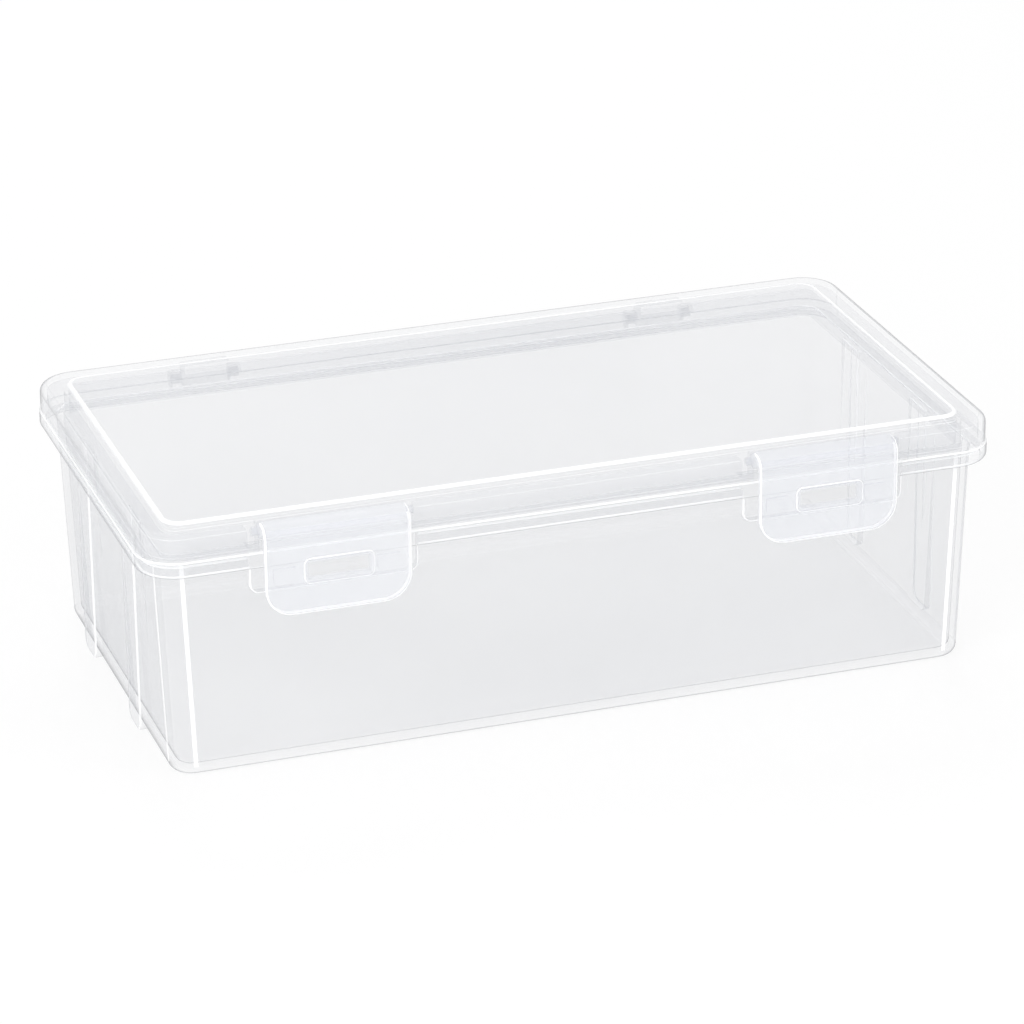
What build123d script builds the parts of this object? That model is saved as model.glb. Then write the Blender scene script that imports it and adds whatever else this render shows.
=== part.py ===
from build123d import *
import os
from math import acos, cos, radians, sin

# A clear pencil box: a moulded body, a hinged lid and two snap latches.
# Millimetres, +Z up, +X to the right, front at -Y.
# The origin is the middle of the underside.

# Overall sizes
BOX_LENGTH = 220.0
BOX_WIDTH = 116.0
BOX_HEIGHT = 66.0

# Body shell
WALL = 1.8
FLOOR = 2.2
RIM_OVERHANG = 4.3
END_DRAFT = 2.1
SIDE_DRAFT = 0.5
MOUTH_CORNER = 6.0
BASE_FILLET = 2.5
FLOOR_FILLET = 1.5

# Rim around the mouth of the body
RIM_DEPTH = 4.4
RIM_SKIN = 1.6
RIM_ROUNDING = 0.5
RIM_FOOT_ROUNDING = 1.2

# Raised strips on the end walls
STRIP_WIDTH = 11.0
STRIP_SPREAD = 45.0
STRIP_FOOT = 1.2
STRIP_ROUNDING = 3.0

# Catch brackets under the front rim
BRACKET_MARGIN = 2.9
BRACKET_DROP = 6.9
BRACKET_SETBACK = 1.4
BRACKET_ROUNDING = 2.5

# Lid
LID_RISE = 7.3
SEAM_GAP = 0.3
LID_INSET = 0.4
LID_SKIN = 1.6
LID_EDGE_ROUNDING = 2.0
PANEL_RISE = 0.65
PANEL_INSET = 7.4
PANEL_CORNER = 5.0
PANEL_SLOPE = 45.0
LIP_SKIN = 1.2
LIP_DEPTH = 2.6
LIP_CLEARANCE = 0.4

# Latches
LATCH_WIDTH = 36.6
LATCH_END_MARGIN = 47.0
LATCH_SKIN = 1.8
LATCH_REACH = 12.0
LATCH_CORNER = 7.0
LATCH_SHOULDER = 3.2
LATCH_RIM_GAP = 1.0
LATCH_EDGE_ROUNDING = 0.4
BARREL_RADIUS = 2.1
BARREL_DROP = 0.1
LATCH_PIN_RADIUS = 1.0
LATCH_PIN_LENGTH = 1.6
WINDOW_WIDTH = 15.7
WINDOW_HEIGHT = 4.7
WINDOW_DROP = 3.2
WINDOW_CORNER = 0.7
FRAME_WIDTH = 1.0
FRAME_RISE = 0.5
HOOK_WIDTH = 5.6
HOOK_SPREAD = 26.0
HOOK_HEIGHT = 5.3
HOOK_SIDE_FLAT = 0.05
HOOK_PASSING_GAP = 0.25
HOOK_PLAY = 0.3

# Notches and pin cheeks in the lid for the latches
NOTCH_CLEARANCE = 0.4
NOTCH_WALL = 1.6
CHEEK = 2.4

# Pivots at the back
HINGE_END_MARGIN = 47.0
KNUCKLE_RADIUS = 2.4
KNUCKLE_WIDTH = 12.0
KNUCKLE_GAP = 0.4
LUG_WIDTH = 3.0
HINGE_PIN_RADIUS = 1.2
HINGE_PIN_LENGTH = 2.6
HINGE_ARM = 2.6
HINGE_DROP = 1.1
LID_OPEN_ANGLE = 110.0
STOP_NOSE = 3.3
STOP_NOSE_HALF_ANGLE = 50.0
STOP_CLEARANCE = 0.1

# Play of every pin in its hole, round it and at its end
PIN_CLEARANCE = 0.05
PIN_END_GAP = 0.3
# How far a joining shape is sunk in what it joins, or a cutter runs past it
SINK = 1.0

# Sizes that follow from those above
MOUTH_LENGTH = BOX_LENGTH - 2 * RIM_OVERHANG
MOUTH_WIDTH = BOX_WIDTH - 2 * RIM_OVERHANG
RIM_CORNER = MOUTH_CORNER + RIM_OVERHANG
RIM_TOP = BOX_HEIGHT - LID_RISE
RIM_BOTTOM = RIM_TOP - RIM_DEPTH
RIM_FACE = BOX_WIDTH / 2
LID_BOTTOM = RIM_TOP + SEAM_GAP
LID_EDGE = BOX_HEIGHT - PANEL_RISE
LID_LENGTH = BOX_LENGTH - 2 * LID_INSET
LID_WIDTH = BOX_WIDTH - 2 * LID_INSET
LID_CORNER = RIM_CORNER - LID_INSET
LID_CEILING = LID_EDGE - LID_SKIN
LATCH_SPREAD = BOX_LENGTH - 2 * LATCH_END_MARGIN
LATCH_BOTTOM = RIM_BOTTOM - LATCH_REACH
LATCH_BACK = RIM_FACE + LATCH_RIM_GAP
LATCH_FRONT = LATCH_BACK + LATCH_SKIN
LATCH_AXIS_Y = -(LID_WIDTH / 2 - BARREL_RADIUS + BARREL_DROP)
LATCH_AXIS_Z = LID_EDGE - BARREL_RADIUS + BARREL_DROP
NOTCH_WIDTH = LATCH_WIDTH + 2 * NOTCH_CLEARANCE
NOTCH_BACK = -LATCH_AXIS_Y - BARREL_RADIUS - NOTCH_CLEARANCE
HINGE_SPREAD = BOX_LENGTH - 2 * HINGE_END_MARGIN
HINGE_AXIS_Y = RIM_FACE + KNUCKLE_GAP + KNUCKLE_RADIUS
HINGE_AXIS_Z = RIM_TOP - HINGE_DROP


def rounded_block(length, width, corner, z_low, z_high):
    """An upright block with rounded corners, centred on the origin in plan."""
    outline = Plane.XY.offset(z_low) * RectangleRounded(length, width, corner)
    return extrude(outline, amount=z_high - z_low)


def box_between(x_range, y_range, z_range):
    """A plain box between two limits on each axis."""
    size = [high - low for low, high in (x_range, y_range, z_range)]
    middle = [(high + low) / 2 for low, high in (x_range, y_range, z_range)]
    return Pos(*middle) * Box(*size)


def rod_along_x(radius, x_low, x_high, y, z):
    """A round bar along X between two limits."""
    return Pos((x_low + x_high) / 2, y, z) * Rot(0, 90, 0) * Cylinder(radius, x_high - x_low)


def drafted_block(inset, z_low, z_high):
    """The body's drafted outline, moved in by an inset, between two heights."""
    sections = []
    for z in (z_low, z_high):
        drop = 1 - z / RIM_TOP
        length = MOUTH_LENGTH - 2 * END_DRAFT * drop - 2 * inset
        width = MOUTH_WIDTH - 2 * SIDE_DRAFT * drop - 2 * inset
        outline = RectangleRounded(length, width, MOUTH_CORNER - inset)
        sections.append(Plane.XY.offset(z) * outline)
    return loft(sections, ruled=True)


def body_outside():
    """The drafted outside of the body with its rounded base."""
    block = drafted_block(0, 0, RIM_TOP)
    return fillet(block.faces().sort_by(Axis.Z)[0].edges(), BASE_FILLET)


def body_cavity():
    """The storage space, an even wall inside the outside and open at the top."""
    block = drafted_block(WALL, FLOOR, RIM_TOP + SINK)
    return fillet(block.faces().sort_by(Axis.Z)[0].edges(), FLOOR_FILLET)


def rim():
    """The flange around the mouth, turned down at its outer edge."""
    flange = rounded_block(BOX_LENGTH, BOX_WIDTH, RIM_CORNER, RIM_BOTTOM, RIM_TOP)
    flange = fillet(flange.faces().sort_by(Axis.Z)[-1].edges(), RIM_ROUNDING)
    flange = fillet(flange.faces().sort_by(Axis.Z)[0].edges(), RIM_FOOT_ROUNDING)
    channel = rounded_block(BOX_LENGTH - 2 * RIM_SKIN, BOX_WIDTH - 2 * RIM_SKIN,
                            RIM_CORNER - RIM_SKIN, RIM_BOTTOM - SINK, RIM_TOP - RIM_SKIN)
    return flange - channel


def end_strip(side, y):
    """A strip on an end wall, upright where the wall is drafted."""
    height = RIM_TOP - RIM_SKIN / 2 - STRIP_FOOT
    outline = Pos(0, STRIP_FOOT + height / 2) * Rectangle(STRIP_WIDTH, height)
    outline = fillet(outline.vertices().group_by(Axis.Y)[0], STRIP_ROUNDING)
    outer = MOUTH_LENGTH / 2
    depth = END_DRAFT + BASE_FILLET
    strip = extrude(Plane.YZ * outline, amount=depth)
    return Pos(outer - depth if side > 0 else -outer, y, 0) * strip


def catch_bracket(x):
    """The thick pad under the front rim that backs a latch."""
    width = LATCH_WIDTH + 2 * BRACKET_MARGIN
    height = BRACKET_DROP + RIM_DEPTH - RIM_SKIN / 2
    outline = Pos(0, RIM_BOTTOM - BRACKET_DROP + height / 2) * Rectangle(width, height)
    outline = fillet(outline.vertices().group_by(Axis.Y)[0], BRACKET_ROUNDING)
    depth = RIM_OVERHANG + SIDE_DRAFT + WALL / 2 - BRACKET_SETBACK
    pad = extrude(Plane.XZ * outline, amount=depth)
    return Pos(x, -(RIM_FACE - BRACKET_SETBACK) + depth, 0) * pad


def hinge_lugs(x):
    """A pair of ears behind the back rim, bored for the lid's pivot pins."""
    inner = KNUCKLE_WIDTH / 2 + KNUCKLE_GAP
    ears = None
    for side in (-1, 1):
        near, far = sorted((x + side * inner, x + side * (inner + LUG_WIDTH)))
        web = box_between((near, far), (RIM_FACE - RIM_SKIN / 2, HINGE_AXIS_Y),
                          (HINGE_AXIS_Z - KNUCKLE_RADIUS, RIM_TOP - RIM_ROUNDING))
        ear = rod_along_x(KNUCKLE_RADIUS, near, far, HINGE_AXIS_Y, HINGE_AXIS_Z) + web
        ears = ear if ears is None else ears + ear
    reach = inner + LUG_WIDTH + SINK
    bore = rod_along_x(HINGE_PIN_RADIUS + PIN_CLEARANCE, x - reach, x + reach, HINGE_AXIS_Y, HINGE_AXIS_Z)
    return ears - bore


def make_body():
    """The drafted shell with its rim, end strips, catch brackets and hinge ears."""
    body = body_outside() + rim()
    for side in (-1, 1):
        for row in (-1, 1):
            body += end_strip(side, row * STRIP_SPREAD / 2)
        body += catch_bracket(side * LATCH_SPREAD / 2)
    body -= body_cavity()
    for side in (-1, 1):
        body += hinge_lugs(side * HINGE_SPREAD / 2)
    return body


def lid_shell():
    """The lid's top with its raised panel, its skirt and its locating lip."""
    outside = rounded_block(LID_LENGTH, LID_WIDTH, LID_CORNER, LID_BOTTOM, LID_EDGE)
    outside = fillet(outside.faces().sort_by(Axis.Z)[-1].edges(), LID_EDGE_ROUNDING)
    panel_length = LID_LENGTH - 2 * (PANEL_INSET - PANEL_RISE)
    panel_width = LID_WIDTH - 2 * (PANEL_INSET - PANEL_RISE)
    foot = Plane.XY.offset(LID_EDGE) * RectangleRounded(panel_length, panel_width, PANEL_CORNER)
    panel = extrude(foot, amount=PANEL_RISE, taper=PANEL_SLOPE)
    hollow = rounded_block(LID_LENGTH - 2 * WALL, LID_WIDTH - 2 * WALL, LID_CORNER - WALL,
                           LID_BOTTOM - SINK, LID_CEILING)
    recess = rounded_block(panel_length - 2 * PANEL_RISE, panel_width - 2 * PANEL_RISE,
                           PANEL_CORNER - PANEL_RISE, LID_CEILING - SINK, LID_CEILING + PANEL_RISE)
    lip_inset = WALL + LIP_CLEARANCE
    lip = rounded_block(MOUTH_LENGTH - 2 * lip_inset, MOUTH_WIDTH - 2 * lip_inset,
                        MOUTH_CORNER - lip_inset, LID_BOTTOM - LIP_DEPTH, LID_CEILING + LID_SKIN / 2)
    inner_inset = lip_inset + LIP_SKIN
    lip -= rounded_block(MOUTH_LENGTH - 2 * inner_inset, MOUTH_WIDTH - 2 * inner_inset,
                         MOUTH_CORNER - inner_inset, LID_BOTTOM - LIP_DEPTH - SINK, BOX_HEIGHT)
    return outside + panel - hollow - recess + lip


def latch_housing(x):
    """The thick block in the lid whose cheeks hold a latch's pins."""
    half = NOTCH_WIDTH / 2 + CHEEK
    return box_between((x - half, x + half), (-LID_WIDTH / 2, -(NOTCH_BACK - NOTCH_WALL)),
                       (LID_BOTTOM, LID_CEILING + LID_SKIN / 2))


def latch_notch(x):
    """What is cut from the lid so that a latch's barrel sits in it and turns."""
    half = NOTCH_WIDTH / 2
    notch = box_between((x - half, x + half), (-(LID_WIDTH / 2 + SINK), -NOTCH_BACK),
                        (LID_BOTTOM - LIP_DEPTH - SINK, BOX_HEIGHT + SINK))
    reach = LATCH_WIDTH / 2 + LATCH_PIN_LENGTH + PIN_END_GAP
    holes = rod_along_x(LATCH_PIN_RADIUS + PIN_CLEARANCE, x - reach, x + reach,
                        LATCH_AXIS_Y, LATCH_AXIS_Z)
    return notch + holes


def hinge_knuckle(x):
    """The lid's arm at the back, with its barrel, pivot pins and stop nose."""
    near = x - KNUCKLE_WIDTH / 2
    far = x + KNUCKLE_WIDTH / 2
    arm_top = LID_BOTTOM + KNUCKLE_GAP + HINGE_ARM
    barrel = rod_along_x(KNUCKLE_RADIUS, near, far, HINGE_AXIS_Y, HINGE_AXIS_Z)
    strap = box_between((near, far), (HINGE_AXIS_Y - KNUCKLE_RADIUS, HINGE_AXIS_Y + KNUCKLE_RADIUS),
                        (HINGE_AXIS_Z, arm_top))
    arm = box_between((near, far), (LID_WIDTH / 2 - WALL / 2, HINGE_AXIS_Y),
                      (LID_BOTTOM + KNUCKLE_GAP, arm_top))
    pins = rod_along_x(HINGE_PIN_RADIUS, near - KNUCKLE_GAP - HINGE_PIN_LENGTH,
                       far + KNUCKLE_GAP + HINGE_PIN_LENGTH, HINGE_AXIS_Y, HINGE_AXIS_Z)
    strap = fillet(strap.edges().filter_by(Axis.X).group_by(Axis.Z)[-1].sort_by(Axis.Y)[-1], KNUCKLE_RADIUS)
    return barrel + strap + arm + pins + stop_nose(near)


def stop_nose(x_low):
    """A nose on the knuckle that meets the back of the rim when the lid is fully open."""
    face = HINGE_AXIS_Y - RIM_FACE - STOP_CLEARANCE
    turn = radians(LID_OPEN_ANGLE) + acos(face / STOP_NOSE)
    spread = radians(STOP_NOSE_HALF_ANGLE)
    corners = []
    for angle, reach in ((turn, STOP_NOSE), (turn + spread, KNUCKLE_RADIUS), (turn - spread, KNUCKLE_RADIUS)):
        corners.append((HINGE_AXIS_Y - reach * cos(angle), HINGE_AXIS_Z - reach * sin(angle)))
    middle = (HINGE_AXIS_Y, HINGE_AXIS_Z)
    outline = Polygon(middle, corners[1], corners[0], corners[2], align=None)
    return Pos(x_low, 0, 0) * extrude(Plane.YZ * outline, amount=KNUCKLE_WIDTH, dir=(1, 0, 0))


def make_lid():
    """The lid with its latch notches at the front and its knuckles at the back."""
    lid = lid_shell()
    for side in (-1, 1):
        lid += latch_housing(side * LATCH_SPREAD / 2)
    for side in (-1, 1):
        lid -= latch_notch(side * LATCH_SPREAD / 2)
        lid += hinge_knuckle(side * HINGE_SPREAD / 2)
    return lid


def latch_profile():
    """The latch's section: an arm from the barrel that turns down into the plate."""
    top = LATCH_AXIS_Z + BARREL_RADIUS
    front = -LATCH_FRONT
    inner = LATCH_SHOULDER - LATCH_SKIN
    bend_y = front + LATCH_SHOULDER
    bend_z = top - LATCH_SHOULDER
    edges = [
        Line((LATCH_AXIS_Y, top), (bend_y, top)),
        CenterArc((bend_y, bend_z), LATCH_SHOULDER, 90, 90),
        Line((front, bend_z), (front, LATCH_BOTTOM)),
        Line((front, LATCH_BOTTOM), (front + LATCH_SKIN, LATCH_BOTTOM)),
        Line((front + LATCH_SKIN, LATCH_BOTTOM), (front + LATCH_SKIN, bend_z)),
        CenterArc((bend_y, bend_z), inner, 90, 90),
        Line((bend_y, bend_z + inner), (LATCH_AXIS_Y, bend_z + inner)),
        Line((LATCH_AXIS_Y, bend_z + inner), (LATCH_AXIS_Y, top)),
    ]
    return make_face(edges)


def latch_plate():
    """The bent plate with its two large lower corners and its rounded front edges."""
    bent = Pos(-LATCH_WIDTH / 2, 0, 0) * extrude(Plane.YZ * latch_profile(), amount=LATCH_WIDTH)
    height = BOX_HEIGHT - LATCH_BOTTOM
    outline = Pos(0, LATCH_BOTTOM + height / 2) * Rectangle(LATCH_WIDTH, height)
    outline = fillet(outline.vertices().group_by(Axis.Y)[0], LATCH_CORNER)
    plate = bent & extrude(Plane.XZ * outline, amount=BOX_WIDTH)
    front_edges = plate.faces().sort_by(Axis.Y)[0].edges().sort_by(Axis.Z)[:-1]
    return fillet(front_edges, LATCH_EDGE_ROUNDING)


def make_latch(x):
    """A latch: barrel and pins, bent plate, framed window and two hooks behind."""
    half = LATCH_WIDTH / 2
    latch = latch_plate()
    latch += rod_along_x(BARREL_RADIUS, -half, half, LATCH_AXIS_Y, LATCH_AXIS_Z)
    pin_reach = half + LATCH_PIN_LENGTH
    latch += rod_along_x(LATCH_PIN_RADIUS, -pin_reach, pin_reach, LATCH_AXIS_Y, LATCH_AXIS_Z)
    window_middle = RIM_BOTTOM - WINDOW_DROP + WINDOW_HEIGHT / 2
    frame = RectangleRounded(WINDOW_WIDTH + 2 * FRAME_WIDTH, WINDOW_HEIGHT + 2 * FRAME_WIDTH,
                             WINDOW_CORNER + FRAME_WIDTH)
    frame_depth = FRAME_RISE + LATCH_SKIN / 2
    frame_block = extrude(Plane.XZ * Pos(0, window_middle) * frame, amount=frame_depth)
    latch += Pos(0, -(LATCH_FRONT + FRAME_RISE) + frame_depth, 0) * frame_block
    window = Plane.XZ * Pos(0, window_middle) * RectangleRounded(WINDOW_WIDTH, WINDOW_HEIGHT, WINDOW_CORNER)
    latch -= extrude(window, amount=BOX_WIDTH)
    for side in (-1, 1):
        latch += latch_hook(side * HOOK_SPREAD / 2)
    return Pos(x, 0, 0) * latch


def latch_hook(x):
    """A hook on the latch's back that snaps under the rim, round at its lower end."""
    middle = RIM_BOTTOM - HOOK_PLAY - HOOK_HEIGHT / 2
    outline = Pos(0, middle) * Rectangle(HOOK_WIDTH, HOOK_HEIGHT)
    outline = fillet(outline.vertices().group_by(Axis.Y)[0], HOOK_WIDTH / 2 - HOOK_SIDE_FLAT)
    depth = LATCH_SKIN / 2 + LATCH_RIM_GAP - HOOK_PASSING_GAP
    hook = extrude(Plane.XZ * outline, amount=depth)
    return Pos(x, -(RIM_FACE + HOOK_PASSING_GAP), 0) * hook


def write(name, shape):
    """Write one piece to its own file."""
    shape.label = name
    export_step(shape, os.path.join("parts", name + ".step"))


os.makedirs("parts", exist_ok=True)
write("body", make_body())
write("lid", make_lid())
write("latch_left", make_latch(-LATCH_SPREAD / 2))
write("latch_right", make_latch(LATCH_SPREAD / 2))
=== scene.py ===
"""The looks of a clear pencil box: its drafted body, hinged lid and two frosted latches."""

import logging
import math
from dataclasses import dataclass, field
from enum import Enum
from typing import Callable, Sequence

import bmesh
import bpy
from mathutils import Matrix, Vector


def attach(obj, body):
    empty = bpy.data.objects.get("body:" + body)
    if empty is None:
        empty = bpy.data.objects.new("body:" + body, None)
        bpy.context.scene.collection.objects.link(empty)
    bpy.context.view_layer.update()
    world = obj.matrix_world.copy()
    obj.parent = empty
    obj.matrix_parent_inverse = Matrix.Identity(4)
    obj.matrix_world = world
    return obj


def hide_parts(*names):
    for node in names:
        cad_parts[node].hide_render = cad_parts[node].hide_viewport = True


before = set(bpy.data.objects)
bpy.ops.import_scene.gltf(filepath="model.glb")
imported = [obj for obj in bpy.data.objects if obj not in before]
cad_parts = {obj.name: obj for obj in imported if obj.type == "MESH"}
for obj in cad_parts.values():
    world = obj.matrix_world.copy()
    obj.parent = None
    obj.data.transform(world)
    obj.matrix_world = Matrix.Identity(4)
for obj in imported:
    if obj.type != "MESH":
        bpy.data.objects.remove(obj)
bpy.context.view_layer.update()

LOG = logging.getLogger("pencil_box")
MM = 0.001

NEAR = 0.02 * MM  # heights and places nearer than this count as one
MERGE = 0.002 * MM  # points nearer than this are merged
INSIDE = 0.02 * MM  # how far a joining block stays inside its neighbour
PIN_PLAY = 0.05 * MM  # the radial play of a pin in its bore
CUT_PAST = 1.0 * MM  # how far a cutter reaches past what it cuts
CLEAR_LAYERS = 48  # see-through faces that a ray may pass, enough for the whole box
LEVEL = 0.9  # the least upright share of a level face's normal
LOOKS_UP = 0.5  # the least upright share of the normal of a face that looks upwards
UPRIGHT = 0.1  # the largest upright share of an upright face's normal
SHARP_ANGLE = 40.0  # edges sharper than this, in degrees, are softened
SMOOTH_ANGLE = 35.0  # edges flatter than this, in degrees, are shaded smoothly
NORMAL_WEIGHT = 80  # how much more large faces count in a shared normal
BAR_SIDES = 32  # the sides of a round bar
CORNER_STEPS = 8  # the steps of a rounded corner
PLAN_STEPS = 10  # the steps of a corner seen in plan

Triple = tuple[float, float, float]
Span = tuple[float, float]


class Boolean(Enum):
    """How one solid is combined with another."""

    ADD = "UNION"
    CUT = "DIFFERENCE"


class Skin(Enum):
    """The material slots of a piece: plain faces, edges with a painted highlight, and large roundings with
    a painted highlight square on and painted shade where they turn away.
    """

    FACE = 0
    EDGE = 1
    ROUND = 2


class Side(Enum):
    """The two ends of the box, seen from the front."""

    LEFT = -1
    RIGHT = 1


@dataclass(frozen=True)
class BoxSizes:
    """The driving sizes of the whole box, in metres."""

    length: float = 220.0 * MM
    width: float = 116.0 * MM
    height: float = 66.0 * MM
    wall: float = 1.8 * MM
    floor: float = 2.2 * MM
    overhang: float = 4.3 * MM
    end_draft: float = 2.1 * MM
    side_draft: float = 0.5 * MM
    mouth_corner: float = 6.0 * MM
    rim_depth: float = 4.4 * MM
    rim_skin: float = 1.6 * MM
    lid_rise: float = 7.3 * MM
    seam_gap: float = 0.3 * MM
    lid_inset: float = 0.4 * MM
    panel_rise: float = 0.65 * MM
    latch_end_margin: float = 47.0 * MM
    latch_width: float = 36.6 * MM
    latch_skin: float = 1.8 * MM
    latch_rim_gap: float = 1.0 * MM
    barrel_radius: float = 2.1 * MM
    barrel_drop: float = 0.1 * MM
    notch_clearance: float = 0.4 * MM
    knuckle_radius: float = 2.4 * MM
    knuckle_width: float = 12.0 * MM
    knuckle_gap: float = 0.4 * MM
    hinge_drop: float = 1.1 * MM
    hinge_pin_radius: float = 1.2 * MM

    @property
    def rim_top(self) -> float:
        """The height of the body's rim."""
        return self.height - self.lid_rise

    @property
    def rim_bottom(self) -> float:
        """The height of the rim's turned-down edge."""
        return self.rim_top - self.rim_depth

    @property
    def rim_corner(self) -> float:
        """The outer radius of the rim's corners in plan."""
        return self.mouth_corner + self.overhang

    @property
    def rim_face(self) -> float:
        """How far the rim's long faces stand from the middle."""
        return self.width / 2

    @property
    def lid_bottom(self) -> float:
        """The height of the lid's skirt above the ground."""
        return self.rim_top + self.seam_gap

    @property
    def lid_edge(self) -> float:
        """The height of the lid's margin round its raised panel."""
        return self.height - self.panel_rise

    @property
    def lid_width(self) -> float:
        """The lid from front to back."""
        return self.width - 2 * self.lid_inset

    @property
    def latch_middle(self) -> float:
        """How far each latch's middle stands from the box's middle."""
        return self.length / 2 - self.latch_end_margin

    @property
    def latch_axis(self) -> Span:
        """The Y and Z of the latches' pins."""
        y = -(self.lid_width / 2 - self.barrel_radius + self.barrel_drop)
        return y, self.lid_edge - self.barrel_radius + self.barrel_drop

    @property
    def hinge_axis(self) -> Span:
        """The Y and Z of the lid's rear pins."""
        return self.rim_face + self.knuckle_gap + self.knuckle_radius, self.rim_top - self.hinge_drop


SIZES = BoxSizes()


def deselect_all() -> None:
    """Leave no object selected and none in edit mode."""
    if bpy.context.object and bpy.context.object.mode != "OBJECT":
        bpy.ops.object.mode_set(mode="OBJECT")
    bpy.ops.object.select_all(action="DESELECT")


def make_active(obj: bpy.types.Object) -> None:
    """Select one object alone and make it the active one.

    Args:
        obj: The object that the next operators act on.
    """
    deselect_all()
    obj.select_set(True)
    bpy.context.view_layer.objects.active = obj


class Modelling:
    """A mesh shaped in edit mode by selecting in code and calling operators."""

    def __init__(self, name: str, low: Triple, high: Triple) -> None:
        """Start from a block between two corners.

        Args:
            name: The object's name.
            low: The block's low corner.
            high: The block's high corner.
        """
        deselect_all()
        middle = [(a + b) / 2 for a, b in zip(low, high)]
        size = [b - a for a, b in zip(low, high)]
        bpy.ops.mesh.primitive_cube_add(size=1, location=middle, scale=size)
        self.adopt(bpy.context.object, name)

    def adopt(self, obj: bpy.types.Object, name: str) -> None:
        """Take over a new primitive and put its place in its mesh.

        Args:
            obj: The primitive that an operator has just added.
            name: Its new name.
        """
        self.obj = obj
        self.obj.name = name
        self.obj.data.name = name
        for _ in Skin:
            self.obj.data.materials.append(None)
        bpy.ops.object.transform_apply(location=True, rotation=True, scale=True)

    def _edit(self) -> bmesh.types.BMesh:
        """Enter edit mode with nothing selected and return the mesh being edited."""
        make_active(self.obj)
        bpy.ops.object.mode_set(mode="EDIT")
        bpy.ops.mesh.select_all(action="DESELECT")
        return bmesh.from_edit_mesh(self.obj.data)

    def pick_faces(self, wanted: Callable[[bmesh.types.BMFace], bool]) -> None:
        """Enter edit mode and select faces.

        Args:
            wanted: Tells whether a face is selected.
        """
        mesh = self._edit()
        bpy.ops.mesh.select_mode(type="FACE")
        for face in mesh.faces:
            face.select_set(wanted(face))
        bmesh.update_edit_mesh(self.obj.data)

    def pick_edges(self, wanted: Callable[[bmesh.types.BMEdge], bool]) -> None:
        """Enter edit mode and select edges.

        Args:
            wanted: Tells whether an edge is selected.
        """
        mesh = self._edit()
        bpy.ops.mesh.select_mode(type="EDGE")
        for edge in mesh.edges:
            edge.select_set(wanted(edge))
        bmesh.update_edit_mesh(self.obj.data)

    def pick_cap(self, z: float, up: bool) -> None:
        """Select the largest flat face at a height.

        Args:
            z: The face's height.
            up: Whether the face looks up, else down.
        """
        mesh = self._edit()
        bpy.ops.mesh.select_mode(type="FACE")
        sign = 1 if up else -1
        level = [f for f in mesh.faces
                 if abs(f.calc_center_median().z - z) < NEAR and f.normal.z * sign > LEVEL]
        max(level, key=lambda f: f.calc_area()).select_set(True)
        bmesh.update_edit_mesh(self.obj.data)

    def round_edges(self, radius: float, segments: int, skin: Skin = Skin.FACE) -> None:
        """Round the selected edges.

        Args:
            radius: The radius of the rounding.
            segments: How many steps it has.
            skin: The material slot of the new faces.
        """
        bpy.ops.mesh.bevel(offset=radius, segments=segments, profile=0.5, affect="EDGES",
                           material=skin.value)
        bpy.ops.object.mode_set(mode="OBJECT")

    def inset(self, thickness: float, rise: float = 0.0) -> None:
        """Inset the selected face.

        Args:
            thickness: How far its outline moves in.
            rise: How far the inner face moves along its normal.
        """
        bpy.ops.mesh.inset(thickness=thickness, depth=rise, use_even_offset=True)

    def extrude(self, move: Triple) -> None:
        """Extrude the selected faces.

        Args:
            move: The way that the new faces move.
        """
        bpy.ops.mesh.extrude_region_move(TRANSFORM_OT_translate={"value": move})

    def resize(self, factors: Triple) -> None:
        """Resize the selection about the box's upright middle line.

        Args:
            factors: The scale along each axis.
        """
        bpy.ops.transform.resize(value=factors, center_override=(0, 0, 0))

    def paint(self, skin: Skin) -> None:
        """Give the selected faces another material slot.

        Args:
            skin: The slot.
        """
        mesh = bmesh.from_edit_mesh(self.obj.data)
        for face in mesh.faces:
            if face.select:
                face.material_index = skin.value
        bmesh.update_edit_mesh(self.obj.data)

    def done(self) -> None:
        """Leave edit mode."""
        bpy.ops.object.mode_set(mode="OBJECT")

    def modify(self, kind: str, **settings: object) -> None:
        """Add one modifier and apply it.

        Args:
            kind: The modifier's type.
            settings: Its properties.
        """
        make_active(self.obj)
        modifier = self.obj.modifiers.new(kind.lower(), kind)
        for key, value in settings.items():
            setattr(modifier, key, value)
        bpy.ops.object.modifier_apply(modifier=modifier.name)

    def soften(self, width: float, segments: int = 2) -> None:
        """Round every sharp edge a little; the roundings get the edge skin, a painted highlight.

        Args:
            width: The width of the rounding.
            segments: How many steps it has.
        """
        self.modify("BEVEL", width=width, segments=segments, limit_method="ANGLE",
                    angle_limit=math.radians(SHARP_ANGLE), use_clamp_overlap=True, material=Skin.EDGE.value)

    def combine(self, other: "Modelling", how: Boolean) -> None:
        """Add another solid to this one, or cut it away, and delete it.

        Args:
            other: The other solid.
            how: Whether it is added or cut.
        """
        self.modify("BOOLEAN", operation=how.value, object=other.obj, solver="EXACT")
        mesh = other.obj.data
        bpy.data.objects.remove(other.obj)
        bpy.data.meshes.remove(mesh)

    def close(self) -> None:
        """Merge doubles, take out walls inside the solid and turn every face outwards."""
        self._edit()
        bpy.ops.mesh.select_all(action="SELECT")
        bpy.ops.mesh.remove_doubles(threshold=MERGE)
        bpy.ops.mesh.select_all(action="DESELECT")
        bpy.ops.mesh.select_mode(type="FACE")
        bpy.ops.mesh.select_interior_faces()
        bpy.ops.mesh.delete(type="FACE")
        bpy.ops.mesh.select_all(action="SELECT")
        bpy.ops.mesh.normals_make_consistent(inside=False)
        bpy.ops.object.mode_set(mode="OBJECT")

    def smooth(self) -> None:
        """Close the solid and shade its flatter edges smoothly."""
        self.close()
        bpy.ops.object.shade_smooth_by_angle(angle=math.radians(SMOOTH_ANGLE))
        self.modify("WEIGHTED_NORMAL", keep_sharp=True, weight=NORMAL_WEIGHT)


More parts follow.
